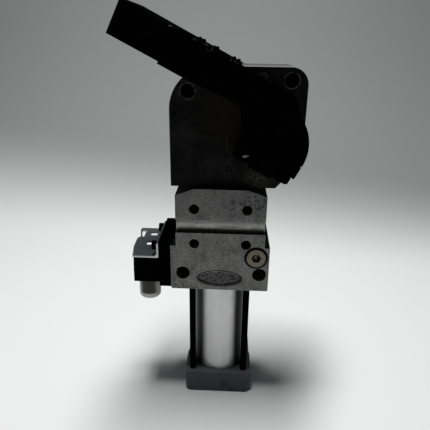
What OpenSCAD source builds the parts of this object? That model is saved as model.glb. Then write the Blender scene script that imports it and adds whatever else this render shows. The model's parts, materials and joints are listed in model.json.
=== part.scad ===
// Pneumatic gripper: an enclosed toggle clamp on a tie-rod cylinder.
// X is across the body, Y is its depth (the front faces -Y), Z is up the cylinder.
// The origin is the centre of the end cap's bottom face.

/* [Cylinder] */
// Side of the square end cap
cap_w = 64; // [62:0.5:68]
// Height of the end cap
cap_h = 23.2; // [23:0.2:26]
// Bore of the cylinder
bore_d = 50; // [48:1:50]
// Outside diameter of the tube
tube_d = 55; // [54:0.5:57]
// Diameter of the piston rod
rod_d = 20; // [18:1:22]
// Diameter of the tie rods
tie_d = 6; // [5:0.5:6]
// Distance between neighbouring tie rods
tie_pitch = 49.7; // [49:0.1:51]

/* [Mounting block] */
// Width of the block's lower part
block_w = 87; // [86:0.5:90]
// Depth of the block
block_depth = 64; // [64:0.5:66]
// Height of the block's underside above the floor
block_z = 117.2; // [117:0.1:119]
// Height of the shoulders above the floor
shoulder_z = 159.8; // [158:0.2:160]
// Width of the block's neck
neck_w = 77.4; // [77:0.2:79]
// Height of the block's top above the floor
block_top_z = 212.2; // [212:0.1:213]
// Width of the keyway across the front
keyway_w = 12; // [10:0.5:12]
// Depth of the keyway
keyway_depth = 6; // [4:0.5:6]
// Distance between the mounting holes, across
pattern_x = 45; // [44:0.5:46]
// Distance between the mounting holes, up and down
pattern_z = 32; // [31:0.5:33]
// Diameter of the mounting holes
pattern_hole_d = 9; // [8:0.5:9]

/* [Head case] */
// Left side of the case, from the cylinder axis
case_left = -42.7; // [-43:0.1:-42]
// Right side of the case, from the cylinder axis
case_right = 65.5; // [65:0.1:67]
// Top of the case above the floor
case_top_z = 309; // [308:0.5:312]
// Depth of the case
case_depth = 50; // [50:0.5:52]
// Wall thickness of the case
case_wall = 4.5; // [4:0.25:5]

/* [Arm] */
// Height of the arm's pivot above the floor
pivot_z = 248; // [247:0.5:249]
// Distance of the pivot from the cylinder axis
pivot_x = 39.5; // [39:0.5:40]
// Rise of the open arm above level
arm_rise = 27; // [20:1:30]
// Reach of the arm from the pivot
arm_reach = 148.5; // [140:0.5:160]
// Thickness of each leg of the forked arm
leg_t = 13; // [12:0.5:13]
// Size of the square on the shaft ends
square_w = 20; // [19:0.5:20]

/* [Toggle] */
// Radius of the crank
crank_r = 22; // [22:0.5:22.5]
// Length of the toggle link between its pins
link_len = 48; // [48:0.5:49]
// Direction of the open crank, from +X towards +Z
crank_rest = 170; // [168:1:172]

/* [Hidden] */
$fn = 64;
eps = 0.01;

// Clearances
running = 0.03;     // radial, between a turning shaft and its bush
slack = 0.3;        // between pieces that pass each other
seat = 0.1;         // radial, round a screw in its hole

front_y = -block_depth / 2;
case_y = case_depth / 2;
keyway_z = (172.4 + 184.4) / 2;
tube_r = tube_d / 2;
bore_r = bore_d / 2;
tie_xy = tie_pitch / 2;
tube_socket = 3;

// Layers across the depth of the head, as distances from the middle plane
link_y = 6;         // half thickness of the link
cheek_y1 = 6.4;     // inner face of the clevis ears and crank plates
cheek_y2 = 12.2;    // their outer face
rail_y1 = 12.8;     // inner face of the rails and the shaft bosses
chamber_y = 19;     // inner face of the case wall
boss_y = 26.2;      // outer face of the round boss on the case
leg_y = 27;         // inner face of the arm's legs
arm_y = leg_y + leg_t;

// Toggle geometry
pin_r = 5;
open_drift = 4.45;  // how far the lower eye wanders from the clevis pin
crank_x = pivot_x + crank_r * cos(crank_rest);
crank_z = pivot_z + crank_r * sin(crank_rest);
clevis_z = crank_z - sqrt(link_len * link_len - crank_x * crank_x);
lower_eye_r = pin_r + open_drift + slack;
roller_r = 7;
rail_half = roller_r + 0.25;

journal_r = 14;
waist_r = 11.5;
bush_r = 17;
hub_boss_r = 22;
outer_boss_r = 36;

// Piston stations
piston_z1 = 27;
piston_z2 = 53;
gland_z1 = 104;
gland_z2 = 150;

// Features on the mounting block
foot_hole_xs = [-32.8, 35.2];
foot_hole_z = 133.6;
foot_hole_r = 6.3;
badge_z = 128.8;
badge_l = 40;
badge_h = 16;
port_x = 31.9;
port_z = 150.2;
port_r = 6.58;
plug_r = 8.7;
spot_face_r = 10.2;
passage_z = 145;
passage_y = 10;
neck_screw_y = 21.5;
neck_screw_z = 202.5;

// Head case corners
left_r = 33.5;
right_r = 13.5;
case_z = block_top_z + 0.3;
tongue_z = 190;
tongue_w = 33.6;
mouth_x1 = -20;
mouth_w = 44;
left_screw = [-28, 290];
right_screw = [52.8, 299];
corner_screws = [left_screw, right_screw];
dowels = [[-30, 219.2], [56, 262]];
lube_x = 30.8;
lube_z = 301.3;

// Sensor on the left of the block
plate_x1 = -54.3;
plate_x2 = -block_w / 2 - 0.1;
plate_z1 = 118.8;
plate_z2 = 162.6;
housing_x = -77.2;
housing_z1 = 123;
bracket_z = 147.4;
sheet_t = 1.6;
m12_x = -65.2;
m12_y = -19.5;
bracket_screw_ys = [-24, 16.5];
bracket_screw_z = 156.2;
probe_ys = [-8, 8];
probe_z = 146;

// Arm section, measured in the arm frame from the shaft's centre
arm_top = 43.8;
arm_tip_low = 17.6;
leg_low = 15.9;
web_u = 107;
bolt_u = 18.5;
bolt_y = leg_y + leg_t / 2;
cap_gap = 1.4;
ear_low = -12.2;
cap_low = -20.6;
head_top = ear_low - 1.6;

// An outline drawn in X and Z, made solid from y1 to y2
module slab(y1, y2) {
    translate([0, y2, 0]) rotate([90, 0, 0]) linear_extrude(y2 - y1) children();
}

// A disc or bar of radius r along Y
module bar_y(x, z, r, y1, y2) {
    translate([x, y2, z]) rotate([90, 0, 0]) cylinder(r = r, h = y2 - y1);
}

// A disc or bar of radius r along X
module bar_x(y, z, r, x1, x2) {
    translate([x1, y, z]) rotate([0, 90, 0]) cylinder(r = r, h = x2 - x1);
}

// A disc or bar of radius r along Z
module bar_z(x, y, r, z1, z2) {
    translate([x, y, z1]) cylinder(r = r, h = z2 - z1);
}

// A flat ring along Z
module ring_z(x, y, r_in, r_out, z1, z2) {
    difference() {
        bar_z(x, y, r_out, z1, z2);
        bar_z(x, y, r_in, z1 - 1, z2 + 1);
    }
}

// A flat ring along Y
module ring_y(x, z, r_in, r_out, y1, y2) {
    difference() {
        bar_y(x, z, r_out, y1, y2);
        bar_y(x, z, r_in, y1 - 1, y2 + 1);
    }
}

module front_and_rear() {
    children();
    mirror([0, 1, 0]) children();
}

module at_tie_rods() {
    for (x = [-tie_xy, tie_xy]) for (y = [-tie_xy, tie_xy]) translate([x, y, 0]) children();
}

// Arm frame: X runs out along the arm, Z points away from the pivot's underside
module arm_frame() {
    translate([pivot_x, 0, pivot_z]) rotate([0, arm_rise, 0]) mirror([1, 0, 0]) children();
}

// Socket cap screw along +Z: head top at z = 0, shank below it
module socket_screw(head_r, head_h, shank_r, length) {
    difference() {
        union() {
            translate([0, 0, -head_h]) cylinder(r = head_r, h = head_h);
            translate([0, 0, -head_h - length]) cylinder(r = shank_r, h = length + eps);
        }
        translate([0, 0, -head_h * 0.6]) cylinder(r = head_r * 0.55, h = head_h, $fn = 6);
    }
}

// ---- cylinder ----

module square_with_round_corners(w, r) {
    for (x = [-1, 1]) for (y = [-1, 1]) translate([x * (w / 2 - r), y * (w / 2 - r)]) circle(r);
    square([w, w - 2 * r], center = true);
    square([w - 2 * r, w], center = true);
}

module end_cap() {
    nut_z = 7;
    side_port_z = cap_h / 2;
    color("#2b2d30") difference() {
        union() {
            linear_extrude(cap_h) square_with_round_corners(cap_w - 2, 6.5);
            translate([0, -cap_w / 4, 0]) linear_extrude(cap_h) intersection() {
                translate([0, cap_w / 4]) square_with_round_corners(cap_w, 5.5);
                square([cap_w + 2, cap_w / 2 + eps], center = true);
            }
        }
        at_tie_rods() bar_z(0, 0, tie_d / 2 + seat, -1, cap_h + 1);
        at_tie_rods() bar_z(0, 0, 5.4, -1, nut_z);
        bar_z(0, 0, tube_r + seat, cap_h - tube_socket, cap_h + 1);
        bar_z(0, 0, 15, side_port_z, cap_h);
        bar_y(0, side_port_z, 4, 5, cap_w / 2);
        bar_y(0, side_port_z, port_r, cap_w / 2 - 14, cap_w / 2 + 1);
    }
}

module end_bumper() {
    color("#1c1c1c") ring_z(0, 0, 16, 21, cap_h - tube_socket, piston_z1 - 0.4);
}

module cylinder_tube() {
    color("#b9bcc0")
        ring_z(0, 0, bore_r, tube_r, cap_h - tube_socket, block_z + tube_socket);
}

module tube_seals() {
    color("#151515") {
        ring_z(0, 0, 23.4, bore_r - 0.05, cap_h - tube_socket, cap_h - tube_socket + 2.5);
        ring_z(0, 0, bore_r - 2.5, bore_r - 0.05, block_z - 5, block_z - 2.5);
    }
}

module tie_rods() {
    color("#1d1e20") at_tie_rods() bar_z(0, 0, tie_d / 2, 1.5, block_z + 9);
}

module tie_rod_nuts() {
    color("#303236") at_tie_rods() difference() {
        translate([0, 0, 2]) cylinder(r = 5.2, h = 5);
        bar_z(0, 0, tie_d / 2 + 0.02, 1, 8);
        for (a = [0, 90]) rotate([0, 0, a]) translate([-6, -0.8, 1]) cube([12, 1.6, 2]);
    }
}

// ---- mounting block ----

// Front view of the block: a wide foot, shoulders and a narrower neck with sloped top corners
module block_outline() {
    foot = block_w / 2;
    neck = neck_w / 2;
    c = 0.8;
    polygon([
        [-foot, block_z + c], [-foot + c, block_z], [foot - c, block_z], [foot, block_z + c],
        [foot, shoulder_z], [neck, shoulder_z], [neck, block_top_z - 5.8],
        [neck - 16, block_top_z], [16 - neck, block_top_z],
        [-neck, block_top_z - 5.8], [-neck, shoulder_z], [-foot, shoulder_z]
    ]);
}

// Keyway section: the upper wall leans outwards
module keyway() {
    half = keyway_w / 2;
    lean = 1.6;
    translate([-block_w / 2, 0, 0]) rotate([90, 0, 90]) linear_extrude(block_w) polygon([
        [front_y - 1, keyway_z - half], [front_y + keyway_depth, keyway_z - half],
        [front_y + keyway_depth, keyway_z + half - lean], [front_y - 1, keyway_z + half + 0.3]
    ]);
}

// An oval of four arcs: small ones at the ends, wide ones above and below
module oval(length, height) {
    end_r = height / 5;
    end_x = length / 2 - end_r;
    side_r = (end_x * end_x + height * height / 4 - end_r * end_r) / (height - 2 * end_r);
    join_x = end_x * side_r / (side_r - end_r);
    for (side = [-1, 1]) translate([side * end_x, 0]) circle(end_r);
    intersection() {
        translate([0, side_r - height / 2]) circle(side_r);
        translate([0, height / 2 - side_r]) circle(side_r);
        square([2 * join_x, height], center = true);
    }
}

module mount_block() {
    pocket_w = tongue_w + 0.4;
    color("#8f9192") difference() {
        slab(front_y, -front_y) block_outline();
        keyway();
        // four mounting holes, right through
        for (x = [-1, 1]) for (z = [-1, 1])
            bar_y(x * pattern_x / 2, keyway_z + z * pattern_z / 2, pattern_hole_d / 2,
                  front_y - 1, -front_y + 1);
        // two through holes in the foot
        for (x = foot_hole_xs)
            bar_y(x, foot_hole_z, foot_hole_r, front_y - 1, -front_y + 1);
        // recess for the badge
        translate([0, 0, badge_z]) slab(front_y - 1, front_y + 1.2)
            oval(badge_l + 0.2, badge_h + 0.2);
        // front port with its spot face, rear port and the passage between them
        bar_y(port_x, port_z, spot_face_r, front_y - 1, front_y + 1.5);
        bar_y(port_x, port_z, port_r, front_y - 1, front_y + 12);
        bar_y(port_x, port_z, port_r, -front_y - 12, -front_y + 1);
        bar_y(port_x, port_z, 3, front_y, -front_y);
        bar_x(passage_y, passage_z, 2.5, 16, port_x + 1.7);
        bar_z(port_x, passage_y, 2.5, passage_z, port_z);
        // tube socket, gland seat, rod chamber and the pocket for the case tongues
        bar_z(0, 0, tube_r + seat, block_z - 1, block_z + tube_socket);
        bar_z(0, 0, 20.05, block_z, gland_z2);
        bar_z(0, 0, 17, gland_z2 - 1, tongue_z);
        translate([-pocket_w / 2, -24.2, tongue_z - 0.2])
            cube([pocket_w, 48.4, block_top_z - tongue_z + 2]);
        // tie-rod threads
        at_tie_rods() bar_z(0, 0, tie_d / 2 + 0.02, block_z - 1, block_z + 10);
        // side screws that hold the tongues
        for (y = [-neck_screw_y, neck_screw_y]) {
            bar_x(y, neck_screw_z, 2.1, -neck_w, neck_w);
            bar_x(y, neck_screw_z, 3.8, neck_w / 2 - 7, neck_w);
            bar_x(y, neck_screw_z, 3.8, -neck_w, -neck_w / 2 + 7);
        }
        // windows for the sensor probes
        for (y = probe_ys) bar_x(y, probe_z, 4.1, -block_w / 2 - 1, -block_w / 2 + 14);
        // threads for the bracket screws
        for (y = bracket_screw_ys)
            bar_x(y, bracket_screw_z, 2.52, -block_w / 2 - 1, -block_w / 2 + 10);
    }
}

module rod_gland() {
    color("#a08a5c") difference() {
        union() {
            bar_z(0, 0, bore_r - 0.1, gland_z1, block_z);
            bar_z(0, 0, 20, block_z - eps, gland_z2);
        }
        bar_z(0, 0, rod_d / 2 + 0.05, gland_z1 - 1, gland_z2 + 1);
        for (z = [block_z - 8, gland_z2 - 6]) bar_z(0, 0, 14, z, z + 4);
        // air passage from the port to the tube
        translate([17.5, passage_y - 2, gland_z1 - 1])
            cube([9, 4, passage_z + 4 - gland_z1]);
        difference() {
            bar_z(0, 0, bore_r + 1, block_z - 5.1, block_z - 2.4);
            bar_z(0, 0, bore_r - 2.6, block_z - 6, block_z - 1);
        }
    }
}

module rod_seals() {
    color("#1a3a2a") for (z = [block_z - 8, gland_z2 - 6])
        ring_z(0, 0, rod_d / 2 + 0.04, 13.9, z + 0.1, z + 3.9);
}

module port_plug() {
    color("#7b6a4c") difference() {
        union() {
            bar_y(port_x, port_z, plug_r, front_y - 1.2, front_y + 1.4);
            bar_y(port_x, port_z, 6.5, front_y + 1.3, front_y + 10);
        }
        translate([port_x, front_y + 4, port_z]) rotate([90, 0, 0])
            cylinder(r = 4.4, h = 8, $fn = 6);
    }
}

module plug_seal() {
    color("#111111") ring_y(port_x, port_z, plug_r + 0.1, spot_face_r - 0.1,
                            front_y - 0.4, front_y + 1.4);
}

module badge_plate() {
    color("#9a9c9e") translate([0, 0, badge_z]) {
        slab(front_y + 0.6, front_y + 1.2) oval(badge_l, badge_h);
        slab(front_y - 0.4, front_y + 0.7) difference() {
            oval(badge_l, badge_h);
            oval(badge_l - 2.4, badge_h - 2.4);
        }
    }
}

// ---- head case ----

// Front view of the case, inset by t; the lower right corner follows the pivot
module case_outline(t) {
    left = case_left + t;
    right = case_right - t;
    top = case_top_z - t;
    bottom = case_z + t;
    r1 = left_r - t;
    r2 = right_r - t;
    polygon([
        [left, bottom], [45 - t / 2, bottom], [49 - t / 2, bottom + 4.5], [right, 232],
        [right, top - r2], [right - r2, top], [left + r1, top], [left, top - r1]
    ]);
    translate([left + r1, top - r1]) circle(r1);
    translate([right - r2, top - r2]) circle(r2);
}

// Case half on the front side; the rear half is its mirror image
module case_half() {
    difference() {
        union() {
            slab(-case_y, -0.25) case_outline(0);
            slab(-boss_y, -case_y + 1) intersection() {
                translate([pivot_x, pivot_z]) circle(outer_boss_r);
                case_outline(0.4);
            }
            translate([-tongue_w / 2, -24, tongue_z + 0.2])
                cube([tongue_w, 24 - chamber_y, case_z - tongue_z]);
        }
        // chamber, leaving the rails' pads, the shaft boss and the screw bosses
        difference() {
            slab(-chamber_y, 1) case_outline(case_wall);
            bar_y(pivot_x, pivot_z, hub_boss_r, -case_y, -rail_y1);
            for (c = corner_screws) bar_y(c[0], c[1], 9.4, -case_y, 0);
        }
        // mouth towards the rod
        translate([mouth_x1, -chamber_y, case_z - 1]) cube([mouth_w, 20, 12]);
        // shaft bore and seal seat
        bar_y(pivot_x, pivot_z, bush_r, -case_y - 0.5, 0);
        bar_y(pivot_x, pivot_z, 19, -boss_y - 1, -21.5);
        // corner screws and dowels
        for (c = corner_screws) bar_y(c[0], c[1], 3.1, -case_y - 1, 1);
        for (c = corner_screws) bar_y(c[0], c[1], 5.8, -case_y - 1, -13);
        for (d = dowels) bar_y(d[0], d[1], 1.01, -8, 1);
        // threads of the neck screws
        bar_x(-neck_screw_y, neck_screw_z, 2.02, -tongue_w, tongue_w);
    }
}

module case_front() {
    color("#26272a") difference() {
        case_half();
        bar_y(lube_x, lube_z, 2.02, -case_y - 1, -case_y + 5.9);
    }
}

module case_rear() {
    color("#242528") mirror([0, 1, 0]) case_half();
}

module case_gasket() {
    color("#3a3a38") slab(-0.24, 0.24) difference() {
        case_outline(0.6);
        case_outline(case_wall - 0.6);
        translate([mouth_x1, case_z - 1]) square([mouth_w, 12]);
        for (d = dowels) translate(d) circle(1.3);
    }
}

module case_screws() {
    color("#222325") for (c = corner_screws)
        translate([c[0], -17, c[1]]) rotate([90, 0, 0]) socket_screw(5.2, 3.9, 3, 28);
}

module case_dowels() {
    color("#a8abae") for (d = dowels) bar_y(d[0], d[1], 1, -7.5, 7.5);
}

module neck_screws() {
    color("#2a2b2d") for (side = [0, 1]) for (y = [-neck_screw_y, neck_screw_y])
        mirror([side, 0, 0]) translate([neck_w / 2 - 2.9, y, neck_screw_z]) rotate([0, 90, 0])
            socket_screw(3.5, 4, 2, 22);
}

module lube_screw() {
    color("#55575a") translate([lube_x, -case_y - 1.2, lube_z]) rotate([90, 0, 0])
        socket_screw(3.6, 1.2, 2, 5.5);
}

// Hardened strips either side of each guide roller
module guide_rails() {
    rail_w = 4.6;
    rail_h = 66;
    color("#6d7073") for (side = [0, 1]) front_and_rear() mirror([side, 0, 0])
        translate([rail_half, -chamber_y + 0.02, tongue_z + 6])
            cube([rail_w, chamber_y - rail_y1, rail_h]);
}

module shaft_bushes() {
    color("#a9824a") front_and_rear()
        ring_y(pivot_x, pivot_z, journal_r + running, bush_r - 0.02, -21.3, -rail_y1);
}

module shaft_seals() {
    color("#161616") front_and_rear()
        ring_y(pivot_x, pivot_z, journal_r + 0.05, 18.9, -25.6, -21.6);
}

// ---- position sensor ----

module sensor_plate() {
    color("#141517") difference() {
        translate([plate_x1, -31.6, plate_z1])
            cube([plate_x2 - plate_x1, 57.6, plate_z2 - plate_z1]);
        for (y = bracket_screw_ys) bar_x(y, bracket_screw_z, 2.8, plate_x1 - 1, plate_x2 + 1);
        for (y = probe_ys) bar_x(y, probe_z, 4.1, plate_x1 - 1, plate_x2 + 1);
        // chamfer along the lower outside edge
        translate([plate_x1, 0, plate_z1]) rotate([0, 45, 0])
            cube([1.1, 100, 1.1], center = true);
    }
}

module sensor_probes() {
    color("#c39a55") for (y = probe_ys)
        bar_x(y, probe_z, 4, plate_x1 + 0.5, -block_w / 2 + 13);
}

module sensor_housing() {
    color("#0f1012") difference() {
        translate([housing_x, -31.5, housing_z1]) cube([plate_x1 - 0.1 - housing_x, 25, 24.3]);
        bar_z(m12_x, m12_y, 5.1, housing_z1 - 1, housing_z1 + 8);
        // draft on the outside
        translate([housing_x, 0, housing_z1]) rotate([0, 2, 0])
            translate([-4, -40, -2]) cube([3.6, 50, 40]);
    }
}

// L-shaped sheet bracket: a slotted shelf over the housing and a leg against the plate
module sensor_bracket() {
    leg_x = plate_x1 - 0.1;
    leg_top = plate_z2 - 1.4;
    leg_y1 = -32;
    leg_y2 = 21;
    color("#b4bec6") difference() {
        union() {
            translate([0, 0, bracket_z]) linear_extrude(sheet_t) polygon([
                [leg_x - 1.2, leg_y1], [-77.5, leg_y1], [-80.4, -13], [-80.8, 5.7],
                [-78.4, 9.7], [-81.6, 25.8], [-80.8, 30.3], [leg_x - 1.2, 30.3]
            ]);
            translate([leg_x - sheet_t, leg_y1, bracket_z + 1.4])
                cube([sheet_t, leg_y2 - leg_y1, leg_top - bracket_z - 1.4]);
            translate([leg_x - 1.6, leg_y2, bracket_z + 1.6]) rotate([90, 0, 0])
                cylinder(r = 1.6, h = leg_y2 - leg_y1);
        }
        for (slot = [[-66.2, 16.8], [-66.6, -4.6]])
            translate([slot[0] - 3.2, slot[1] - 3.8, bracket_z - 1]) cube([6.4, 7.6, 4]);
        bar_z(-58.6, -28, 1.8, bracket_z - 1, bracket_z + 5);
        // slanted window behind the notch
        translate([0, 0, bracket_z - 1]) linear_extrude(4)
            polygon([[-77.1, 10.4], [-75.2, 8.5], [-75, 23.8], [-79.7, 24.7]]);
        for (y = bracket_screw_ys) bar_x(y, bracket_screw_z, 2.8, leg_x - 4, leg_x + 1);
    }
}

module bracket_screws() {
    color("#17181a") for (y = bracket_screw_ys)
        translate([plate_x1 - 0.1 - sheet_t - 5, y, bracket_screw_z]) rotate([0, -90, 0])
            socket_screw(4.25, 5, 2.5, 18);
}

module sensor_connector() {
    color("#b7b9ba") difference() {
        bar_z(m12_x, m12_y, 5, housing_z1 - 1, housing_z1 + 7.8);
        bar_z(m12_x, m12_y, 4, housing_z1 - 2, housing_z1 + 1);
    }
    color("#b7b9ba") ring_z(m12_x, m12_y, 4.4, 6, housing_z1 - 13, housing_z1 - 0.1);
}

module connector_pins() {
    color("#c8a24a") for (a = [45:90:315])
        translate([m12_x, m12_y, 0]) rotate([0, 0, a]) bar_z(2.2, 0, 0.5, housing_z1 - 10, housing_z1 + 0.8);
}

module dust_cap() {
    skirt_r = 9.9;
    skirt_h = 16.3;
    wall = 1.5;
    top = housing_z1 - 1;
    color("#e8e9e4", 0.75) translate([m12_x, m12_y, 0]) rotate_extrude() difference() {
        union() {
            translate([0, top - skirt_h]) square([skirt_r, skirt_h]);
            translate([0, top - skirt_h - 3]) square([skirt_r - 3, 4]);
            translate([skirt_r - 3, top - skirt_h]) intersection() {
                circle(3);
                translate([0, -4]) square([4, 4 + eps]);
            }
        }
        translate([-1, top - 17]) square([6.05 + 1, 20]);
        translate([6.8, top - 14]) square([skirt_r - wall - 6.8, 20]);
    }
}

// ---- piston and rod ----

module piston() {
    color("#8d9196") difference() {
        bar_z(0, 0, bore_r - 0.05, piston_z1, piston_z2);
        bar_z(0, 0, 8.02, piston_z1 - 1, piston_z2 + 1);
        bar_z(0, 0, 13, piston_z1 - 1, piston_z1 + 9);
        for (z = [29, 47]) ring_z(0, 0, 21, bore_r + 1, z, z + 4);
        ring_z(0, 0, 22, bore_r + 1, 35, 39);
        ring_z(0, 0, 21, bore_r + 1, 41, 45);
    }
}

module piston_seals() {
    color("#22402c") for (z = [29, 47]) ring_z(0, 0, 21.1, bore_r - 0.03, z + 0.1, z + 3.9);
}

module guide_ring() {
    color("#6b4a2c") ring_z(0, 0, 22.1, bore_r - 0.03, 35.1, 38.9);
}

module magnet_ring() {
    color("#3b3b3f") ring_z(0, 0, 21.1, bore_r - 0.6, 41.1, 44.9);
}

module piston_nut() {
    color("#9fa2a5") difference() {
        translate([0, 0, piston_z1 + 1]) cylinder(r = 12, h = 7.9, $fn = 6);
        bar_z(0, 0, 8.02, piston_z1, piston_z1 + 10);
    }
}

module piston_rod() {
    color("#c9ccd0") {
        bar_z(0, 0, 8, piston_z1 + 0.6, piston_z2 + 1);
        bar_z(0, 0, rod_d / 2, piston_z2, clevis_z - 34);
        bar_z(0, 0, 6, clevis_z - 35, clevis_z - 24);
    }
}

module rod_clevis() {
    ear_r = 11;
    base_z = clevis_z - 28;
    slot_floor = clevis_z - 20;
    color("#55585c") difference() {
        union() {
            bar_z(0, 0, 14, base_z, slot_floor + 1);
            front_and_rear() translate([-ear_r, -cheek_y2, slot_floor])
                cube([2 * ear_r, cheek_y2 - cheek_y1, clevis_z - slot_floor]);
            front_and_rear() bar_y(0, clevis_z, ear_r, -cheek_y2, -cheek_y1);
        }
        bar_y(0, clevis_z, pin_r + 0.01, -20, 20);
        bar_z(0, 0, 6.02, base_z - 1, clevis_z - 24);
        translate([-20, -cheek_y1, slot_floor]) cube([40, 2 * cheek_y1, 5]);
    }
}

module clevis_locknut() {
    color("#8c8f92") difference() {
        translate([0, 0, clevis_z - 33.9]) cylinder(r = 11, h = 5.8, $fn = 6);
        bar_z(0, 0, 6.02, clevis_z - 36, clevis_z - 26);
    }
}

module clevis_pin() {
    color("#d0d3d6") bar_y(0, clevis_z, pin_r, -18.7, 18.7);
}

module guide_rollers() {
    color("#b0b3b6") front_and_rear()
        ring_y(0, clevis_z, pin_r + 0.02, roller_r, -17.3, -12.6);
}

module pin_clips() {
    color("#77797c") front_and_rear()
        ring_y(0, clevis_z, pin_r + 0.02, 6.4, -18.4, -17.5);
}

module toggle_link() {
    upper_eye_r = 9.5;
    lower_outer_r = lower_eye_r + 4;
    tilt = atan2(crank_z - clevis_z, crank_x);
    color("#5e6165") difference() {
        union() {
            bar_y(0, clevis_z, lower_outer_r, -link_y, link_y);
            bar_y(crank_x, crank_z, upper_eye_r, -link_y, link_y);
            translate([0, 0, clevis_z]) rotate([0, -tilt, 0])
                translate([lower_eye_r, -link_y, -4])
                    cube([link_len - lower_eye_r, 2 * link_y, 8]);
        }
        bar_y(0, clevis_z, lower_eye_r, -10, 10);
        bar_y(crank_x, crank_z, 6.5, -10, 10);
    }
}

module link_bush() {
    color("#a9824a") ring_y(crank_x, crank_z, pin_r + running, 6.48, -link_y, link_y);
}

// ---- shaft, crank and arm ----

module pivot_shaft() {
    color("#3c3e41") translate([pivot_x, 0, pivot_z]) {
        bar_y(0, 0, waist_r, -cheek_y1 - 0.1, cheek_y1 + 0.1);
        front_and_rear() difference() {
            bar_y(0, 0, journal_r, -leg_y, -cheek_y1);
            rotate([0, -crank_rest, 0])
                translate([journal_r - 2.5, -cheek_y2, -2]) cube([5, cheek_y2 - cheek_y1, 4]);
        }
        front_and_rear() intersection() {
            bar_y(0, 0, journal_r, -arm_y - 1.5, -leg_y + 1);
            rotate([0, arm_rise, 0]) translate([-square_w / 2, -arm_y - 2, -square_w / 2])
                cube([square_w, leg_t + 4, square_w]);
        }
    }
}

module crank_plates() {
    color("#4a4d51") front_and_rear() difference() {
        union() {
            bar_y(pivot_x, pivot_z, 20, -cheek_y2, -cheek_y1);
            bar_y(crank_x, crank_z, 10, -cheek_y2, -cheek_y1);
        }
        bar_y(pivot_x, pivot_z, journal_r + 0.01, -20, 0);
        bar_y(crank_x, crank_z, pin_r + 0.01, -20, 0);
        translate([pivot_x, 0, pivot_z]) rotate([0, -crank_rest, 0])
            translate([journal_r - 1, -20, -2.02]) cube([3, 20, 4.04]);
    }
}

module crank_keys() {
    color("#8a8d90") front_and_rear()
        translate([pivot_x, 0, pivot_z]) rotate([0, -crank_rest, 0])
            translate([journal_r - 2.4, -cheek_y2 + 0.1, -1.9])
                cube([4.2, cheek_y2 - cheek_y1 - 0.2, 3.8]);
}

module crank_pin() {
    color("#d0d3d6") bar_y(crank_x, crank_z, pin_r, -cheek_y2, cheek_y2);
}

module thrust_washers() {
    color("#9c7a45") front_and_rear()
        ring_y(pivot_x, pivot_z, journal_r + 0.05, 20, -leg_y + 0.05, -boss_y - 0.05);
}

// Side view of one leg in the arm frame
module leg_outline(top, tip_low, leg_low) {
    hub_r = 35.5;
    hub_x = 8.5;
    polygon([
        [hub_x, 0], [27, 0], [38.5, leg_low + 2.2], [60, leg_low + 1.3], [86, leg_low],
        [web_u, leg_low], [web_u, tip_low], [arm_reach, tip_low], [arm_reach, top],
        [6, top], [-10, 30.2], [hub_x - hub_r, 0]
    ]);
    intersection() {
        translate([hub_x, 0]) circle(hub_r);
        translate([-27, 0]) square([35.5, 31]);
    }
}

module clamp_arm() {
    notch = square_w / 2 + 0.03;
    color("#101112") arm_frame() difference() {
        union() {
            front_and_rear() slab(-arm_y, -leg_y) leg_outline(arm_top, arm_tip_low, leg_low);
            translate([web_u, -arm_y, arm_tip_low])
                cube([arm_reach - web_u, 2 * arm_y, arm_top - arm_tip_low]);
        }
        translate([-notch, -arm_y - 1, -1]) cube([2 * notch, 2 * arm_y + 2, notch + 1]);
        for (u = [-bolt_u, bolt_u]) for (y = [-bolt_y, bolt_y])
            bar_z(u, y, 4.02, -1, 20);
        for (y = [-20, 20]) bar_z(129, y, 5, arm_tip_low - 1, arm_top + 1);
    }
}

module arm_caps() {
    notch = square_w / 2 + 0.03;
    color("#131415") arm_frame() front_and_rear() difference() {
        slab(-arm_y, -leg_y) polygon([
            [-27, -cap_gap], [27, -cap_gap], [27, ear_low], [11.6, ear_low], [10, cap_low],
            [-10, cap_low], [-11.6, ear_low], [-27, ear_low]
        ]);
        translate([-notch, -arm_y - 1, -notch]) cube([2 * notch, leg_t + 2, notch]);
        for (u = [-bolt_u, bolt_u]) bar_z(u, -bolt_y, 4.3, -30, 1);
    }
}

module arm_cap_screws() {
    color("#1b1c1e") arm_frame() for (u = [-bolt_u, bolt_u]) for (y = [-bolt_y, bolt_y])
        translate([u, y, 0]) {
            translate([0, 0, head_top - 5.4]) cylinder(r = 7.3, h = 5.4, $fn = 6);
            bar_z(0, 0, 4, head_top - eps, 18);
        }
}

module arm_cap_washers() {
    color("#2a2b2d") arm_frame() for (u = [-bolt_u, bolt_u]) for (y = [-bolt_y, bolt_y])
        ring_z(u, y, 4.2, 6.4, head_top, ear_low);
}

end_cap();
end_bumper();
cylinder_tube();
tube_seals();
tie_rods();
tie_rod_nuts();
mount_block();
rod_gland();
rod_seals();
port_plug();
plug_seal();
badge_plate();
case_front();
case_rear();
case_gasket();
case_screws();
case_dowels();
neck_screws();
lube_screw();
guide_rails();
shaft_bushes();
shaft_seals();
sensor_plate();
sensor_probes();
sensor_housing();
sensor_bracket();
bracket_screws();
sensor_connector();
connector_pins();
dust_cap();
piston();
piston_seals();
guide_ring();
magnet_ring();
piston_nut();
piston_rod();
rod_clevis();
clevis_locknut();
clevis_pin();
guide_rollers();
pin_clips();
toggle_link();
link_bush();
pivot_shaft();
crank_plates();
crank_keys();
crank_pin();
thrust_washers();
clamp_arm();
arm_caps();
arm_cap_screws();
arm_cap_washers();
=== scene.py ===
"""Looks of the pneumatic gripper: finishes for its CAD parts, and a small studio round it.

Lengths are in metres, as Blender's are, except where a name ends in _mm. mm() turns millimetres
into metres. X runs across the body, Y into its depth (the front faces -Y) and Z up the cylinder.

Some light and dark in these finishes is painted in by place, where the studio's lights alone do not
give the photograph's. The comments say where it is painted. It suits this view and this light only.
"""

import json
import math
import random

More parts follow.
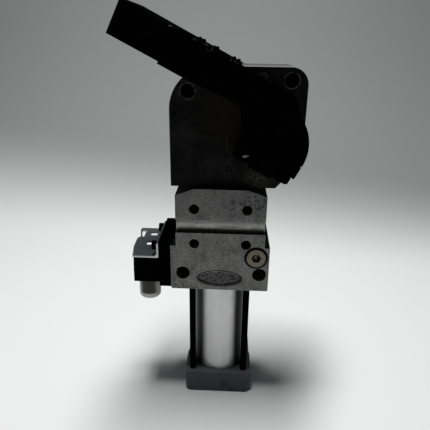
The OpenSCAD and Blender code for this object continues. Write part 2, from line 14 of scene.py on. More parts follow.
import bmesh
import bpy
from mathutils import Matrix, Vector


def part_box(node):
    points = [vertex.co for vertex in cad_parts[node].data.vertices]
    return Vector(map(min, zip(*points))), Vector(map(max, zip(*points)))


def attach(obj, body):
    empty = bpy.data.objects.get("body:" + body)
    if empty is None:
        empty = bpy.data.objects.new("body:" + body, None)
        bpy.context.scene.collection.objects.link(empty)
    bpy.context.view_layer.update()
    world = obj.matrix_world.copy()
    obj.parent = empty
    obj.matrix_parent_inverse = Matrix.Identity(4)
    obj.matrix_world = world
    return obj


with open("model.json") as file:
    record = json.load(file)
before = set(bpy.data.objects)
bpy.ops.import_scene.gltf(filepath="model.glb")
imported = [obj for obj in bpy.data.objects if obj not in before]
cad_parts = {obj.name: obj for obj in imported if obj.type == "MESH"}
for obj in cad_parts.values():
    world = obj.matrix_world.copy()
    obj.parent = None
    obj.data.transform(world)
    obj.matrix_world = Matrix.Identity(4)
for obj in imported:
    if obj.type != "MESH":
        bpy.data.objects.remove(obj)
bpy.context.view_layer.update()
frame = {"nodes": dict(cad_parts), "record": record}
nodes = frame["nodes"]


def mm(*values):
    """A length, or a point, given in millimetres."""
    if len(values) == 1:
        return values[0] / 1000
    return Vector(values) / 1000


# ---- places on the CAD parts ----


def middle(node):
    low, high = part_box(node)
    return (low + high) / 2


block_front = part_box("mount_block")[0].y
case_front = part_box("case_front")[0].y
arm_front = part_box("clamp_arm")[0].y
plug_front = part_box("port_plug")[0].y
dust_cap_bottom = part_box("dust_cap")[0].z
dust_cap_x = abs(middle("dust_cap").x)
badge = middle("badge_plate")
plug = middle("port_plug")
pivot = middle("pivot_shaft")

keyway_z = mm(178.4)
keyway_half = mm(6.4)
upper_pad_z = mm(188)
left_screw = mm(-28, 0, 290)
right_screw = mm(52.8, 0, 299)
arm_rise = math.radians(27)

badge_width_mm = 40
badge_height_mm = 16
badge_rim_mm = 1.2
plug_recess_mm = 20.4
# a circle just round the hexagonal socket of the plug
plug_socket_mm = 9
boss_r_mm = 36
# a ring just outside each deep screw hole in the case
worn_ring_r_mm = 6.3
arm_top_mm = 43.8
# the holes through the block: x, z and width of each
pattern_holes_mm = [(x, z, 9) for x in (-22.5, 22.5) for z in (162.4, 194.4)]
foot_holes_mm = [(x, 133.6, 12.6) for x in (-32.8, 35.2)]


# ---- marks of use, a brown tint and a painted glint ----


brown_tint_spot = (mm(8), case_front, mm(272))
bare_patch = (mm(29), case_front, mm(221))
screw_glint = mm(18.8, 0, 242.8)
screw_glint_width_mm = 5.5
screw_glint_height_mm = 2.4
# stains on the block's front: x, z, radius and softness of each
stains_mm = ((30, 203, 8, 8), (13, 196, 4, 10), (-36, 121.5, 4, 4))
# where weld spatter has struck the arm's top corner: distance along the arm, and size
spatter_mm = ((107, 6), (90, 4), (78, 7), (57, 6), (28, 3))
# it has stuck at the middle three, and only chipped the paint at the outer two
stuck_spatter_mm = spatter_mm[1:4]


def on_arm(along_mm, y, up_mm):
    """A point on the open arm: along it from the pivot, and up from there at a right angle to it."""
    along = mm(along_mm)
    up = mm(up_mm)
    x = pivot.x - along * math.cos(arm_rise) + up * math.sin(arm_rise)
    z = pivot.z + along * math.sin(arm_rise) + up * math.cos(arm_rise)
    return Vector((x, y, z))


# ---- a short way to write node materials ----


class Finish:
    """A Principled material, built up one node at a time. Positions are in metres, in the part's frame."""

    def __init__(self, name, colour, roughness, **sockets):
        self.material = bpy.data.materials.new(name)
        self.material.use_nodes = True
        self.tree = self.material.node_tree
        self.shader = self.tree.nodes["Principled BSDF"]
        self.shader.inputs["Base Color"].default_value = (*colour, 1)
        self.shader.inputs["Roughness"].default_value = roughness
        for socket, value in sockets.items():
            self.shader.inputs[socket.replace("_", " ")].default_value = value
        coordinates = self.node("ShaderNodeTexCoord")
        self.position = coordinates.outputs["Object"]
        self.normal = coordinates.outputs["Normal"]

    def node(self, kind, **settings):
        made = self.tree.nodes.new(kind)
        for name, value in settings.items():
            setattr(made, name, value)
        return made

    def link(self, source, target):
        self.tree.links.new(source, target)

    def feed(self, socket, value):
        """Links a node's output to a socket, or sets the socket to a number or colour."""
        if isinstance(value, bpy.types.NodeSocket):
            self.link(value, socket)
        else:
            socket.default_value = value

    def noise(self, size_mm, detail=3.0, stretch=(1, 1, 1)):
        """Noise from 0 to 1 whose lumps are about size_mm across, longer where stretch is above 1."""
        scale = self.node("ShaderNodeVectorMath", operation="MULTIPLY")
        self.link(self.position, scale.inputs[0])
        scale.inputs[1].default_value = [1 / mm(size_mm) / s for s in stretch]
        noise = self.node("ShaderNodeTexNoise")
        self.link(scale.outputs[0], noise.inputs["Vector"])
        noise.inputs["Scale"].default_value = 1
        noise.inputs["Detail"].default_value = detail
        return noise.outputs["Fac"]

    def cells(self, size_mm):
        """A random colour for each of the cells, about size_mm across, that fill the surface."""
        cells = self.node("ShaderNodeTexVoronoi")
        self.link(self.position, cells.inputs["Vector"])
        cells.inputs["Scale"].default_value = 1 / mm(size_mm)
        return cells.outputs["Color"]

    def spread(self, value, low, high, out_low=0.0, out_high=1.0):
        """Maps low..high smoothly to out_low..out_high. Low may be the larger of the two."""
        ramp = self.node("ShaderNodeMapRange", interpolation_type="SMOOTHSTEP")
        self.link(value, ramp.inputs["Value"])
        numbers = {"From Min": low, "From Max": high, "To Min": out_low, "To Max": out_high}
        for name, number in numbers.items():
            ramp.inputs[name].default_value = number
        return ramp.outputs["Result"]

    def combine(self, operation, first, second):
        """One arithmetic step on two numbers or outputs. The result is held between 0 and 1."""
        step = self.node("ShaderNodeMath", operation=operation, use_clamp=True)
        self.feed(step.inputs[0], first)
        self.feed(step.inputs[1], second)
        return step.outputs[0]

    def times(self, first, second):
        """A product, which is high only where both are."""
        return self.combine("MULTIPLY", first, second)

    def near(self, centre, radius_mm, soft_mm):
        """1 inside a ball round centre, falling to 0 over soft_mm."""
        gap = self.node("ShaderNodeVectorMath", operation="DISTANCE")
        self.link(self.position, gap.inputs[0])
        gap.inputs[1].default_value = centre
        return self.spread(gap.outputs["Value"], mm(radius_mm), mm(radius_mm + soft_mm), 1, 0)

    def along(self, axis, low, high):
        """0 at low and 1 at high, in metres along one axis. Low may be the larger of the two."""
        parts = self.node("ShaderNodeSeparateXYZ")
        self.link(self.position, parts.inputs[0])
        return self.spread(parts.outputs[axis], low, high)

    def behind(self, front, depth_mm, soft_mm):
        """1 where a point lies deeper than depth_mm behind a front face, rising over soft_mm."""
        return self.along("Y", front + mm(depth_mm), front + mm(depth_mm + soft_mm))

    def edges(self, width_mm):
        """1 along edges and inside corners, and 0 on the flats."""
        slight_turn = 0.02
        clear_turn = 0.2
        rounded = self.node("ShaderNodeBevel", samples=4)
        rounded.inputs["Radius"].default_value = mm(width_mm)
        flat = self.node("ShaderNodeNewGeometry")
        match = self.node("ShaderNodeVectorMath", operation="DOT_PRODUCT")
        self.link(rounded.outputs[0], match.inputs[0])
        self.link(flat.outputs["Normal"], match.inputs[1])
        return self.spread(match.outputs["Value"], 1 - slight_turn, 1 - clear_turn)

    def ellipse(self, centre, width_mm, height_mm):
        """Distance from a centre in the XZ plane, where 1 is on the ellipse of that width and height.

        It ignores depth, so a mark made with it goes right through the part, to its back.
        """
        offset = self.node("ShaderNodeVectorMath", operation="SUBTRACT")
        self.link(self.position, offset.inputs[0])
        offset.inputs[1].default_value = centre
        scaled = self.node("ShaderNodeVectorMath", operation="MULTIPLY")
        self.link(offset.outputs[0], scaled.inputs[0])
        scaled.inputs[1].default_value = (2 / mm(width_mm), 0, 2 / mm(height_mm))
        distance = self.node("ShaderNodeVectorMath", operation="LENGTH")
        self.link(scaled.outputs[0], distance.inputs[0])
        return distance.outputs["Value"]

    def hole(self, centre, width_mm):
        """1 inside a round hole that runs front to back, and 0 just outside it."""
        return self.spread(self.ellipse(centre, width_mm, width_mm), 1.05, 1.02)

    def towards(self, direction, vector=None):
        """How far a vector, or the surface's own normal, points along a direction."""
        match = self.node("ShaderNodeVectorMath", operation="DOT_PRODUCT")
        self.link(vector or self.normal, match.inputs[0])
        match.inputs[1].default_value = direction
        return match.outputs["Value"]

    def height(self):
        """How high a point is."""
        return self.towards((0, 0, 1), self.position)

    def from_middle(self):
        """How far a point is to the left or right of the body's middle."""
        distance = self.node("ShaderNodeMath", operation="ABSOLUTE")
        self.link(self.towards((1, 0, 0), self.position), distance.inputs[0])
        return distance.outputs[0]

    def band(self, value, low, high, soft):
        """1 between low and high, falling to 0 over soft on both sides."""
        rise = self.spread(value, low - soft, low)
        fall = self.spread(value, high, high + soft, 1, 0)
        return self.times(rise, fall)

    def tint(self, colour, amount):
        """Lays a colour over the base colour made so far, as far as amount says."""
        base = self.shader.inputs["Base Color"]
        mix = self.node("ShaderNodeMix", data_type="RGBA")
        self.feed(mix.inputs["Factor"], amount)
        if base.is_linked:
            self.link(base.links[0].from_socket, mix.inputs[6])
        else:
            mix.inputs[6].default_value = base.default_value
        mix.inputs[7].default_value = (*colour, 1)
        self.link(mix.outputs[2], base)

    def rough(self, value):
        self.link(value, self.shader.inputs["Roughness"])

    def bump(self, height, depth_mm):
        """Adds relief of that depth on top of the relief made so far."""
        bump = self.node("ShaderNodeBump")
        bump.inputs["Strength"].default_value = 1
        bump.inputs["Distance"].default_value = mm(depth_mm)
        self.link(height, bump.inputs["Height"])
        normal = self.shader.inputs["Normal"]
        if normal.is_linked:
            self.link(normal.links[0].from_socket, bump.inputs["Normal"])
        self.link(bump.outputs[0], normal)


# ---- finishes ----


def blasted_speckle(f, speckle, clouds):
    """Fine speckle, cloudy patches, handling marks and bright worn edges."""
    f.tint((0.30, 0.30, 0.29), f.spread(speckle, 0.48, 0.70))
    f.tint((0.05, 0.05, 0.048), f.spread(speckle, 0.48, 0.30))
    f.tint((0.08, 0.08, 0.077), f.times(f.spread(clouds, 0.48, 0.72), 0.5))
    mottle = f.noise(4, 3, (1, 1, 1.6))
    f.tint((0.27, 0.27, 0.26), f.times(f.spread(mottle, 0.52, 0.68), 0.45))
    f.tint((0.07, 0.07, 0.067), f.times(f.spread(mottle, 0.46, 0.32), 0.45))
    scratches = f.spread(f.noise(0.35, 2, (30, 30, 1)), 0.66, 0.74)
    f.tint((0.42, 0.42, 0.41), f.times(scratches, 0.5))
    f.tint((0.55, 0.55, 0.54), f.times(f.edges(0.7), f.spread(f.noise(3), 0.3, 0.6)))


def milled_keyway(f):
    """The keyway is milled, so it is smoother and glossier than the blast, and its lower half is
    brightened by a painted highlight. Returns where it is.

    It is found by height alone, so the same bright band also crosses the block's plain sides.
    """
    height = f.height()
    in_keyway = f.band(height, keyway_z - keyway_half, keyway_z + keyway_half, mm(0.2))
    milled = f.times(in_keyway, f.behind(block_front, 0.6, 0.4))
    grain = f.spread(f.noise(1.5, 3, (12, 1, 1)), 0.2, 0.6)
    f.tint((0.13, 0.13, 0.12), f.times(milled, grain))
    # painted highlight: the lower half is bright
    painted_highlight_low_half = f.spread(height, keyway_z + mm(3.5), keyway_z - mm(0.5))
    f.tint((0.33, 0.33, 0.30), f.times(milled, f.times(grain, painted_highlight_low_half)))
    return milled


def badge_field_and_shadow(f):
    """A darker field with dark blotches in place of the raised letters, and a painted shadow in the groove
    round it, wider towards the bottom.

    The same oval also shows on the block's back, where there is no badge.
    """
    field_width_mm = badge_width_mm - 2 * badge_rim_mm
    field_height_mm = badge_height_mm - 2 * badge_rim_mm
    rim = f.ellipse(badge, badge_width_mm, badge_height_mm)
    field = f.ellipse(badge, field_width_mm, field_height_mm)
    inside = f.spread(field, 1.0, 0.97)
    f.tint((0.055, 0.055, 0.053), f.times(inside, 0.75))
    f.tint((0.012, 0.012, 0.012), f.times(inside, f.spread(f.noise(2.6, 3), 0.47, 0.62)))
    # painted shadow: a black line in the groove round the rim, wider towards the bottom, and a broken dark
    # line along the field's edge
    step = f.times(f.band(field, 0.97, 1.01, 0.03), f.spread(f.noise(4), 0.35, 0.6))
    groove_start = f.spread(f.height(), badge.z + mm(4), badge.z - mm(5), 0.95, 0.87)
    groove = f.times(f.combine("GREATER_THAN", rim, groove_start), f.spread(rim, 1.04, 1.02))
    f.tint((0.008, 0.008, 0.008), f.combine("MAXIMUM", groove, f.times(step, 0.8)))


def block_stains(f):
    """Spotty dark stains on the front face."""
    spots = f.spread(f.noise(2.2, 4), 0.5, 0.62)
    for x, z, radius_mm, soft_mm in stains_mm:
        stain = f.near((mm(x), block_front, mm(z)), radius_mm, soft_mm)
        f.tint((0.02, 0.02, 0.019), f.times(stain, f.times(spots, 0.75)))


def hole_shade_and_glints(f):
    """Painted shade on the walls of the holes, with brown painted glints."""
    bored = 0
    for x, z, width_mm in pattern_holes_mm + foot_holes_mm:
        bored = f.combine("MAXIMUM", bored, f.hole(mm(x, 0, z), width_mm))
    wall = f.times(bored, f.behind(block_front, 0.7, 0.5))
    # painted shade: the walls of the holes are dark
    f.tint((0.02, 0.018, 0.014), wall)
    # painted highlights: brown glints on the walls
    f.tint((0.16, 0.145, 0.12), f.times(wall, f.spread(f.noise(1.6, 2), 0.50, 0.56)))


def shot_blasted_aluminium():
    """Grey blasted aluminium of the mounting block, with stains, painted shade on its ledges, holes and
    recesses, and painted highlights in its keyway and holes.
    """
    f = Finish("block_aluminium", (0.15, 0.15, 0.145), 0.55, Metallic=0.35)
    speckle = f.noise(1.1, 4)
    clouds = f.noise(14, 3)
    blasted_speckle(f, speckle, clouds)
    milled = milled_keyway(f)
    # the upper pad is a little darker than the face below the keyway
    upper_pad = f.spread(f.height(), upper_pad_z - mm(2), upper_pad_z + mm(2))
    f.tint((0.08, 0.08, 0.077), f.times(upper_pad, 0.35))
    badge_field_and_shadow(f)
    # painted shade: the recess round the plug is black, in the front half of the block only
    front_half = f.along("Y", 0, block_front / 2)
    f.tint((0.006, 0.006, 0.006), f.times(f.hole(plug, plug_recess_mm), front_half))
    block_stains(f)
    # painted shade: ledges that face up are nearly black and reflect nothing
    ledges = f.spread(f.towards((0, 0, 1)), 0.25, 0.5)
    f.tint((0.010, 0.012, 0.013), ledges)
    f.link(f.spread(ledges, 0, 1, 0.5, 0), f.shader.inputs["Specular IOR Level"])
    hole_shade_and_glints(f)
    f.link(f.spread(milled, 0, 1, 0.35, 0.9), f.shader.inputs["Metallic"])
    blasted = f.spread(clouds, 0.3, 0.7, 0.45, 0.62)
    f.rough(f.combine("SUBTRACT", blasted, f.times(milled, 0.22)))
    f.bump(speckle, 0.09)
    f.bump(f.noise(3.5, 2), 0.12)
    return f.material


def dark_casting():
    """Black painted casting: coarse sand grain, dusty patches and rubbed edges."""
    f = Finish("case_cast", (0.0045, 0.0045, 0.0047), 0.5, Specular_IOR_Level=0.06)
    grain = f.noise(0.9, 5)
    lumps = f.noise(4, 3)
    f.tint((0.017, 0.0168, 0.0165), f.spread(grain, 0.5, 0.72))
    f.tint((0.002, 0.002, 0.002), f.spread(lumps, 0.5, 0.75))
    dust = f.times(f.spread(f.noise(22, 4), 0.45, 0.7), f.spread(grain, 0.4, 0.6))
    f.tint((0.032, 0.031, 0.029), f.times(dust, 0.6))
    # a brown tint under the arm, and a rough bare patch below the hub
    film = f.near(brown_tint_spot, 6, 30)
    f.tint((0.011, 0.0085, 0.004), f.times(film, 0.8))
    bare = f.near(bare_patch, 5, 9)
    pits = f.spread(f.noise(0.9, 4, (1, 1, 2)), 0.47, 0.6)
    f.tint((0.055, 0.052, 0.043), f.times(bare, pits))
    # worn rims of the boss and of the deep screw holes
    worn = f.spread(f.noise(3, 4), 0.42, 0.56)
    worn_rims = (
        (pivot, boss_r_mm, 0.020),
        (left_screw, worn_ring_r_mm, 0.08),
        (right_screw, worn_ring_r_mm, 0.08),
    )
    for centre, radius_mm, bright in worn_rims:
        rim = f.ellipse(centre, 2 * radius_mm, 2 * radius_mm)
        line = f.band(rim, 1 - 0.5 / radius_mm, 1 + 0.1 / radius_mm, 0.4 / radius_mm)
        f.tint((bright, bright * 0.97, bright * 0.92), f.times(line, worn))
    f.tint((0.20, 0.19, 0.18), f.times(f.edges(0.8), f.spread(f.noise(2.5, 4), 0.52, 0.66)))
    # painted sheen: the roof is paler, and paler still towards its front
    roof = f.spread(f.towards((0, 0, 1)), 0.6, 0.9)
    f.tint((0.07, 0.07, 0.07), roof)
    pale_start = mm(-5)
    pale_full = mm(-18)
    f.tint((0.17, 0.17, 0.168), f.times(roof, f.along("Y", pale_start, pale_full)))
    f.rough(f.spread(lumps, 0.3, 0.7, 0.4, 0.6))
    f.bump(grain, 0.16)
    f.bump(lumps, 0.5)
    return f.material


def black_arm_paint():
    """Matt black paint with soot, chipped to bare metal where weld spatter has struck the top corner."""
    f = Finish("arm_paint", (0.0012, 0.0012, 0.0013), 0.6, Specular_IOR_Level=0.0)
    f.tint((0.0018, 0.0018, 0.0018), f.spread(f.noise(9, 3), 0.45, 0.7))
    crumbs = f.times(f.spread(f.noise(1.5, 4), 0.55, 0.60), f.spread(f.noise(3.5, 3), 0.44, 0.52))
    above_corner_mm = 1.8
    for along_mm, size_mm in spatter_mm:
        place = on_arm(along_mm, arm_front, arm_top_mm + above_corner_mm)
        struck = f.near(place, size_mm * 0.25, size_mm * 0.55)
        f.tint((0.38, 0.38, 0.37), f.times(struck, crumbs))
    worn = f.times(f.edges(0.9), f.spread(f.noise(2.6, 4), 0.64, 0.68))
    f.tint((0.10, 0.10, 0.10), worn)
    f.rough(f.spread(f.noise(6, 3), 0.3, 0.7, 0.48, 0.66))
    f.bump(f.noise(1.6, 3), 0.07)
    return f.material


def drawn_tube():
    """Satin anodised tube with faint lengthwise lines and a few stains."""
    f = Finish("tube_aluminium", (0.55, 0.55, 0.545), 0.38, Metallic=1.0)
    lines = f.noise(0.9, 2, (1, 1, 90))
    f.tint((0.50, 0.50, 0.495), f.spread(lines, 0.45, 0.75))
    f.tint((0.46, 0.46, 0.46), f.times(f.spread(f.noise(16, 3), 0.5, 0.8), 0.5))
    # painted reflections, for a view from the front or back: grey from its bright middle outwards,
    # paler at the very side, and a dark band of painted shade
    side = f.from_middle()
    bright_half = mm(9)
    grey_from = mm(17)
    pale_start = mm(19)
    pale_full = mm(23)
    dark_start = mm(18)
    dark_end = mm(20.5)
    f.tint((0.20, 0.20, 0.20), f.spread(side, bright_half, grey_from))
    f.tint((0.17, 0.17, 0.17), f.spread(side, pale_start, pale_full))
    f.tint((0.015, 0.015, 0.015), f.band(side, dark_start, dark_end, mm(3)))
    f.rough(f.spread(f.noise(9, 3), 0.3, 0.7, 0.34, 0.42))
    return f.material


def dark_anodised():
    """Charcoal anodised cap: fine machining grain, worn corners."""
    f = Finish("dark_anodised", (0.050, 0.051, 0.056), 0.42, Metallic=0.3, Specular_IOR_Level=0.3)
    grain = f.noise(0.8, 4, (4, 4, 1))
    f.tint((0.085, 0.086, 0.092), f.spread(grain, 0.5, 0.75))
    f.tint((0.03, 0.03, 0.033), f.spread(f.noise(12, 3), 0.5, 0.75))
    # painted reflection: the faces that look up are paler
    f.tint((0.13, 0.13, 0.137), f.spread(f.towards((0, 0, 1)), 0.5, 0.8))
    f.tint((0.25, 0.25, 0.25), f.times(f.edges(0.6), f.spread(f.noise(2, 4), 0.48, 0.62)))
    f.rough(f.spread(f.noise(5, 3), 0.3, 0.7, 0.36, 0.5))
    f.bump(grain, 0.03)
    return f.material


def black_oxide():
    """Blackened steel of rods, nuts and screws, with an oily sheen and grey worn edges."""
    f = Finish("black_steel", (0.0015, 0.0015, 0.0017), 0.42, Specular_IOR_Level=0.0)
    f.tint((0.004, 0.0036, 0.0034), f.spread(f.noise(1.8, 4), 0.5, 0.72))
    f.tint((0.022, 0.021, 0.020), f.times(f.edges(0.35), f.spread(f.noise(1.2, 3), 0.4, 0.6)))
    # painted highlight: a bright glint on one hex head of the arm, and on the one behind it
    glinting = f.spread(f.ellipse(screw_glint, screw_glint_width_mm, screw_glint_height_mm), 1, 0.7)
    f.tint((0.45, 0.45, 0.44), f.times(glinting, f.spread(f.noise(1.2, 2), 0.46, 0.54)))
    f.rough(f.spread(f.noise(3, 3), 0.3, 0.7, 0.28, 0.5))
    f.bump(f.noise(0.4, 3), 0.02)
    return f.material


def zinc_sheet():
    """Galvanised sheet: pale blue-grey with soft spangles, and painted highlights on its cut edges."""
    f = Finish("zinc_sheet", (0.095, 0.118, 0.122), 0.36, Metallic=0.75)
    spangle = f.cells(2.6)
    grey = f.node("ShaderNodeRGBToBW")
    f.link(spangle, grey.inputs[0])
    f.tint((0.205, 0.250, 0.260), f.times(grey.outputs[0], 0.6))
    f.tint((0.08, 0.085, 0.085), f.times(f.spread(f.noise(5, 4), 0.55, 0.75), 0.7))
    # painted highlight: the faces that look to the front, such as the cut edges, and the edges all round
    # are bright
    cut = f.spread(f.towards((0, -1, 0)), 0.5, 0.8)
    f.tint((0.50, 0.52, 0.52), f.combine("MAXIMUM", cut, f.times(f.edges(0.4), 0.6)))
    f.rough(f.spread(grey.outputs[0], 0.1, 0.9, 0.28, 0.46))
    f.bump(f.noise(0.7, 3), 0.02)
    return f.material


def black_plastic():
    """Moulded black plastic with a fine eroded texture."""
    f = Finish("black_plastic", (0.0008, 0.0010, 0.0010), 0.5, Specular_IOR_Level=0.0)
    f.tint((0.0025, 0.0028, 0.0025), f.spread(f.noise(7, 3), 0.5, 0.75))
    f.tint((0.009, 0.009, 0.009), f.times(f.edges(0.4), 0.5))
    f.rough(f.spread(f.noise(2, 3), 0.3, 0.7, 0.42, 0.6))
    f.bump(f.noise(0.35, 2), 0.03)
    return f.material


def cap_plastic():
    """Milky soft plastic of the dust cap: grey where the socket shows through."""
    f = Finish(
        "cap_plastic",
        (0.028, 0.026, 0.020),
        0.35,
        Specular_IOR_Level=0.25,
        Transmission_Weight=0.1,
        Subsurface_Weight=0.15,
        Subsurface_Scale=mm(3),
    )
    streaks = f.spread(f.noise(1.6, 3, (1, 1, 12)), 0.42, 0.62)
    f.tint((0.035, 0.034, 0.027), f.times(streaks, 0.8))
    # painted highlight: the bright rim down its sides and round its bottom
    socket_half = mm(5)
    rim_height = mm(5)
    rim_fade = mm(1.5)
    socket = f.band(f.from_middle(), dust_cap_x - socket_half, dust_cap_x + socket_half, mm(4))
    rim_top = dust_cap_bottom + rim_height
    bottom = f.along("Z", rim_top + rim_fade, rim_top)
    rim = f.combine("MAXIMUM", bottom, f.combine("SUBTRACT", 1, socket))
    f.tint((0.66, 0.66, 0.64), rim)
    f.rough(f.spread(f.noise(2, 3), 0.3, 0.7, 0.28, 0.45))
    f.bump(f.noise(0.8, 2), 0.03)
    return f.material


def turned_metal(name, colour, dark, roughness):
    """A turned or ground metal with a fine grain, small stains and polished edges."""
    f = Finish(name, colour, roughness, Metallic=0.9)
    f.tint(dark, f.spread(f.noise(2.2, 4), 0.48, 0.75))
    bright = [min(1, channel * 2.2) for channel in colour]
    f.tint(bright, f.times(f.edges(0.3), 0.6))
    f.rough(f.spread(f.noise(1.5, 3), 0.3, 0.7, roughness - 0.08, roughness + 0.12))
    f.bump(f.noise(0.3, 3), 0.01)
    return f.material


def oxidised_plug():
    """Brown oxidised bronze face of the port plug, with painted shade and painted glints in its socket."""
    f = Finish("plug_bronze", (0.19, 0.165, 0.125), 0.42, Metallic=0.5)
    f.tint((0.09, 0.078, 0.06), f.spread(f.noise(1.7, 4), 0.45, 0.7))
    f.tint((0.34, 0.30, 0.23), f.times(f.edges(0.45), f.spread(f.noise(1.1, 3), 0.35, 0.6)))
    scuffs = f.spread(f.noise(0.3, 2, (1, 1, 14)), 0.62, 0.72)
    f.tint((0.30, 0.27, 0.22), f.times(scuffs, 0.6))
    # its outermost ring is dark
    bright_face_mm = 16.3
    face = f.ellipse(plug, bright_face_mm, bright_face_mm)
    f.tint((0.010, 0.009, 0.008), f.spread(face, 0.99, 1.02))
    # painted shade: the socket is nearly black inside
    round_socket = f.spread(f.ellipse(plug, plug_socket_mm, plug_socket_mm), 1.03, 1)
    socket = f.times(round_socket, f.behind(plug_front, 0.3, 0.3))
    f.tint((0.012, 0.011, 0.010), socket)
    # painted highlights: glints in the socket
    glints = f.spread(f.noise(2.4, 2), 0.52, 0.60)
    f.tint((0.60, 0.56, 0.50), f.times(socket, glints))
    f.rough(f.spread(f.noise(1.2, 3), 0.3, 0.7, 0.34, 0.52))
    f.bump(f.noise(0.35, 3), 0.03)
    return f.material


def seal_rubber():
    """Black moulded rubber."""
    f = Finish("seal_rubber", (0.006, 0.006, 0.006), 0.6, Specular_IOR_Level=0.0)
    f.tint((0.010, 0.010, 0.009), f.spread(f.noise(1.5, 4), 0.5, 0.75))
    f.rough(f.spread(f.noise(1, 3), 0.3, 0.7, 0.5, 0.7))
    f.bump(f.noise(0.3, 2), 0.02)
    return f.material


finishes = {
    "dark_anodised": dark_anodised(),
    "tube_aluminium": drawn_tube(),
    "black_steel": black_oxide(),
    "block_aluminium": shot_blasted_aluminium(),
    "case_cast": dark_casting(),
    "arm_paint": black_arm_paint(),
    "zinc_sheet": zinc_sheet(),
    "black_plastic": black_plastic(),
    "cap_plastic": cap_plastic(),
    "bronze": turned_metal("bronze", (0.42, 0.30, 0.14), (0.24, 0.16, 0.08), 0.34),
    "bright_steel": turned_metal("bright_steel", (0.55, 0.56, 0.57), (0.38, 0.38, 0.39), 0.24),
    "dark_steel": turned_metal("dark_steel", (0.07, 0.07, 0.072), (0.035, 0.034, 0.034), 0.40),
    "seal_rubber": seal_rubber(),
    "plug_bronze": oxidised_plug(),
}


# ---- rounded edges on the CAD parts ----


def round_edges(obj, width_mm):
    """Rounds the outside and inside corners that turn by more than 35 degrees, and evens the shading."""
    weld = obj.modifiers.new("weld", "WELD")
    weld.merge_threshold = mm(0.002)
    bevel = obj.modifiers.new("bevel", "BEVEL")
    bevel.width = mm(width_mm)
    bevel.segments = 2
    bevel.limit_method = "ANGLE"
    bevel.angle_limit = math.radians(35)
    bevel.harden_normals = True
    bevel.use_clamp_overlap = True


edge_widths_mm = {
    "case_front": 0.9,
    "case_rear": 0.9,
    "mount_block": 0.35,
    "clamp_arm": 0.6,
    "arm_caps": 0.6,
    "end_cap": 0.5,
    "sensor_plate": 0.3,
    "sensor_housing": 0.6,
    "badge_plate": 0.12,
    "port_plug": 0.3,
    "arm_cap_screws": 0.4,
    "sensor_bracket": 0.15,
    "pivot_shaft": 0.4,
}

for part in frame["record"]["subparts"]:
    obj = nodes[part["node"]]
    obj.data.materials.clear()
    obj.data.materials.append(finishes[part["material_slot"]])

# the shaft's square ends were painted with the arm
nodes["pivot_shaft"].data.materials[0] = finishes["arm_paint"]

for name, width_mm in edge_widths_mm.items():
    round_edges(nodes[name], width_mm)


# ---- weld spatter on the arm ----


def weld_spatter():
    """Irregular lumps of burnt metal stuck along the arm's top corner, front and back."""
    lumps_each = 16
    rng = random.Random(7)
    lumps = bmesh.new()
    for along_mm, size_mm in stuck_spatter_mm:
        for _ in range(lumps_each):
            y = arm_front + mm(rng.uniform(1.2, 9))
            y = rng.choice((y, -y))
            lump_along_mm = along_mm + rng.uniform(-0.75, 0.75) * size_mm
            place = on_arm(lump_along_mm, y, arm_top_mm + rng.uniform(-0.5, 0.3))
            radius = mm(rng.uniform(0.9, 1.7))
            made = bmesh.ops.create_icosphere(lumps, subdivisions=2, radius=radius)
            for vert in made["verts"]:
                vert.co = place + vert.co * rng.uniform(0.8, 1.15)
    mesh = bpy.data.meshes.new("weld_spatter")
    lumps.to_mesh(mesh)
    lumps.free()
    spatter = bpy.data.objects.new("weld_spatter", mesh)
    bpy.context.scene.collection.objects.link(spatter)
    mesh.materials.append(finishes["arm_paint"])
    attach(spatter, "arm")


weld_spatter()


# ---- studio ----


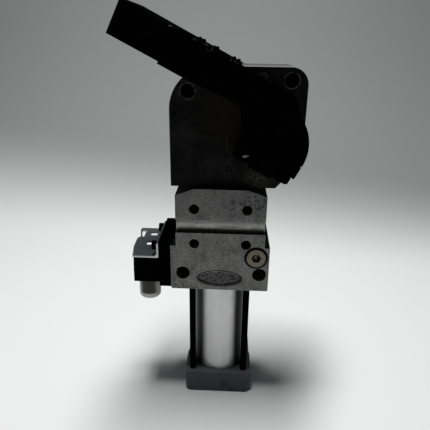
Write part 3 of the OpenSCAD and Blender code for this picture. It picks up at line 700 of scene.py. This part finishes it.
def floor_and_sweep():
    """A paper sweep: flat floor, a wide curve behind the object, then a wall."""
    front = -6.0
    curve_start = 0.30
    curve_r = 0.60
    wall_top = 1.9
    half_width = 4.0
    steps = 24
    profile = [(front, 0)]
    for i in range(steps + 1):
        angle = math.pi / 2 * i / steps
        y = curve_start + curve_r * math.sin(angle)
        profile.append((y, curve_r * (1 - math.cos(angle))))
    profile.append((curve_start + curve_r, wall_top))
    sheet = bmesh.new()
    rows = [[sheet.verts.new((x, y, z)) for x in (-half_width, half_width)] for y, z in profile]
    for near, far in zip(rows, rows[1:]):
        sheet.faces.new((near[0], near[1], far[1], far[0]))
    mesh = bpy.data.meshes.new("floor")
    sheet.to_mesh(mesh)
    sheet.free()
    for face in mesh.polygons:
        face.use_smooth = True
    floor = bpy.data.objects.new("floor", mesh)
    bpy.context.scene.collection.objects.link(floor)
    paper = Finish("paper", (0.80, 0.81, 0.805), 0.7, Specular_IOR_Level=0.2)
    # painted in: the light falls off towards the wall, and sooner on the right
    depth = paper.towards((0.15, 1, 0), paper.position)
    paper.tint((0.29, 0.295, 0.293), paper.spread(depth, 0.27, 0.62))
    paper.tint((0.265, 0.27, 0.268), paper.along("Z", 0.11, 0.42))
    mesh.materials.append(paper.material)


def soft_light(name, place, target, width, height, power):
    lamp = bpy.data.lights.new(name, "AREA")
    lamp.shape = "RECTANGLE"
    lamp.size = width
    lamp.size_y = height
    lamp.energy = power
    obj = bpy.data.objects.new(name, lamp)
    obj.location = place
    obj.rotation_euler = (Vector(target) - Vector(place)).to_track_quat("-Z", "Y").to_euler()
    bpy.context.scene.collection.objects.link(obj)


def studio():
    floor_and_sweep()
    soft_light(
        "top_light",
        place=(-0.07, 0.045, 1.30),
        target=(-0.04, 0.03, 0),
        width=0.50,
        height=0.18,
        power=17.5,
    )
    soft_light(
        "front_fill",
        place=(-0.5, -1.5, 0.9),
        target=(0, 0, 0.15),
        width=1.2,
        height=0.9,
        power=0.5,
    )
    world = bpy.data.worlds.new("dim_room")
    world.use_nodes = True
    background = world.node_tree.nodes["Background"]
    background.inputs["Color"].default_value = (0.46, 0.54, 0.555, 1)
    background.inputs["Strength"].default_value = 0.075
    bpy.context.scene.world = world
    bpy.context.scene.view_settings.view_transform = "Standard"


def camera():
    """The lens and direction are solved from the object's own corners and hole spacing."""
    place = mm(8.652, -377.411, 326.326)
    yaw = 2.22
    down = 21.55
    roll = 0.787
    lens = bpy.data.cameras.new("camera")
    lens.sensor_width = 36
    lens.lens = 36.78
    turn = (
        Matrix.Rotation(math.radians(yaw), 4, "Z")
        @ Matrix.Rotation(math.radians(90 - down), 4, "X")
        @ Matrix.Rotation(math.radians(roll), 4, "Z")
    )
    obj = bpy.data.objects.new("camera", lens)
    obj.matrix_world = Matrix.Translation(place) @ turn
    bpy.context.scene.collection.objects.link(obj)
    bpy.context.scene.camera = obj


studio()
camera()
